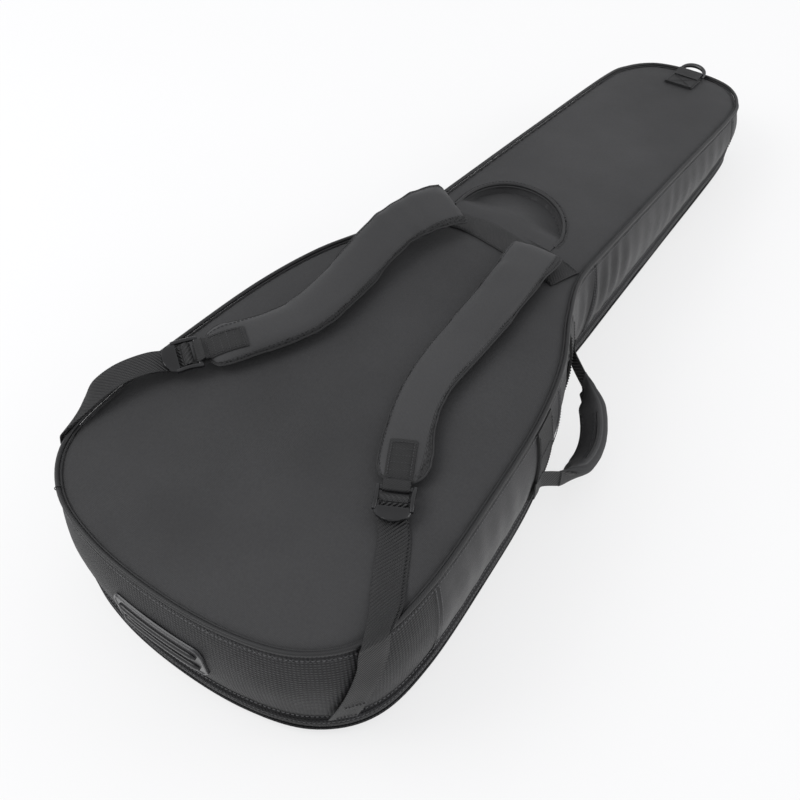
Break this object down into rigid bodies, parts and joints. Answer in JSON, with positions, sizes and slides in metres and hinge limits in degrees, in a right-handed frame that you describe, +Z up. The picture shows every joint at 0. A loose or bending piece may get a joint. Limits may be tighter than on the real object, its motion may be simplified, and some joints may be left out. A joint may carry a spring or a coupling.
{
  "type": "padded guitar gig bag",
  "caption": "Padded soft bag for an acoustic guitar, with a zip-round lid, shoulder straps and a side carry handle.",
  "frame": {"origin": "the middle of the flat resting face, on the floor plane under the middle of the bag's length", "axes": "+Y runs from the bottom end to the head end, +Z up through the front panel to the back panel, +X to the carry handle's side"},
  "size_m": [0.4184, 1.144, 0.1926],
  "materials": {
    "shell_cloth": "matt charcoal padded nylon with a very fine weave",
    "gusset_cloth": "smooth coated nylon with a soft sheen",
    "ballistic_cloth": "coarse ballistic nylon weave",
    "strap_cloth": "matt padded nylon with an air-mesh underside",
    "webbing": "woven polypropylene webbing",
    "piping": "cloth-covered piping cord",
    "zip": "woven zip tape with nylon coil",
    "lining": "short plush lining over foam",
    "rubber": "satin moulded rubber",
    "black_plastic": "semi-gloss moulded acetal",
    "black_hardware": "black painted zinc"
  },
  "bodies": {
    "lid": {"front_panel": "shell_cloth", "front_lining": "lining", "front_rim": "gusset_cloth", "front_piping": "piping", "zip_tape_lid": "zip", "fabric_hinge": "gusset_cloth", "body_pocket": "shell_cloth", "neck_pocket": "shell_cloth", "pocket_zip": "zip"},
    "shell": {"back_panel": "shell_cloth", "back_lining": "lining", "back_piping": "piping", "zip_tape_shell": "zip", "gusset_bottom": "ballistic_cloth", "gusset_head": "gusset_cloth", "gusset_right_body": "gusset_cloth", "gusset_left_body": "gusset_cloth", "gusset_right_shoulder": "gusset_cloth", "gusset_left_shoulder": "gusset_cloth", "gusset_right_neck": "gusset_cloth", "gusset_left_neck": "gusset_cloth", "bumper": "rubber", "strap_band": "webbing", "hand_hold_rim": "webbing", "head_tab": "webbing", "strap_pad_right": "strap_cloth", "strap_pad_left": "strap_cloth", "strap_patch_right": "webbing", "strap_patch_left": "webbing", "strap_webbing_right": "webbing", "strap_webbing_left": "webbing", "handle_patch_lower": "webbing", "handle_patch_upper": "webbing", "neck_cradle": "lining", "neck_strap": "webbing", "end_pad": "lining", "head_pad": "lining"},
    "carry_handle": {"handle_web_lower": "webbing", "handle_grip": "webbing", "handle_web_upper": "webbing"},
    "d_ring": {"d_ring": "black_hardware"},
    "ladder_lock_right": {"ladder_lock_right": "black_plastic"},
    "ladder_lock_left": {"ladder_lock_left": "black_plastic"},
    "zip_slider_head": {"zip_slider_head": "black_hardware"},
    "zip_slider_body": {"zip_slider_body": "black_hardware"},
    "zip_pull_head": {"zip_pull_head": "black_hardware"},
    "zip_pull_body": {"zip_pull_body": "black_hardware"},
    "pocket_slider": {"pocket_slider": "black_hardware"}
  },
  "joints": [
    {"name": "bag_opening", "type": "hinge", "parent": "lid", "child": "shell", "pos_m": [-0.1985, -0.325, 0.03], "axis": [0, -1, 0], "range_deg": [0, 100]},
    {"name": "carry_handle_swing", "type": "hinge", "parent": "shell", "child": "carry_handle", "pos_m": [0.1616, -0.14052, 0.07608], "axis": [0.2956, -0.9328, -0.206], "range_deg": [-10, 100]},
    {"name": "d_ring_swing", "type": "hinge", "parent": "shell", "child": "d_ring", "pos_m": [0, 0.547, 0.09647], "axis": [1, 0, 0], "range_deg": [0, 115]},
    {"name": "ladder_lock_right_tilt", "type": "hinge", "parent": "shell", "child": "ladder_lock_right", "pos_m": [0.11491, -0.36774, 0.1642], "axis": [-0.8909, -0.4542, 0], "range_deg": [0, 60]},
    {"name": "ladder_lock_left_tilt", "type": "hinge", "parent": "shell", "child": "ladder_lock_left", "pos_m": [-0.14293, -0.34693, 0.1702], "axis": [-0.7999, 0.5658, 0.2], "range_deg": [0, 60]},
    {"name": "zip_slider_head_run", "type": "slide", "parent": "lid", "child": "zip_slider_head", "axis": [0.017, 0.9999, 0], "range_m": [0, 0.15]},
    {"name": "zip_slider_body_run", "type": "slide", "parent": "lid", "child": "zip_slider_body", "axis": [-0.017, -0.9999, 0], "range_m": [0, 0.12]},
    {"name": "zip_pull_head_swing", "type": "hinge", "parent": "zip_slider_head", "child": "zip_pull_head", "pos_m": [-0.10799, 0.24616, 0.03], "axis": [0.017, 0.9999, 0], "range_deg": [-5, 100]},
    {"name": "zip_pull_body_swing", "type": "hinge", "parent": "zip_slider_body", "child": "zip_pull_body", "pos_m": [-0.10819, 0.23416, 0.03], "axis": [0.017, 0.9999, 0], "range_deg": [-5, 100]},
    {"name": "pocket_slider_run", "type": "slide", "parent": "lid", "child": "pocket_slider", "axis": [-1, 0, 0], "range_m": [0, 0.17]}
  ]
}
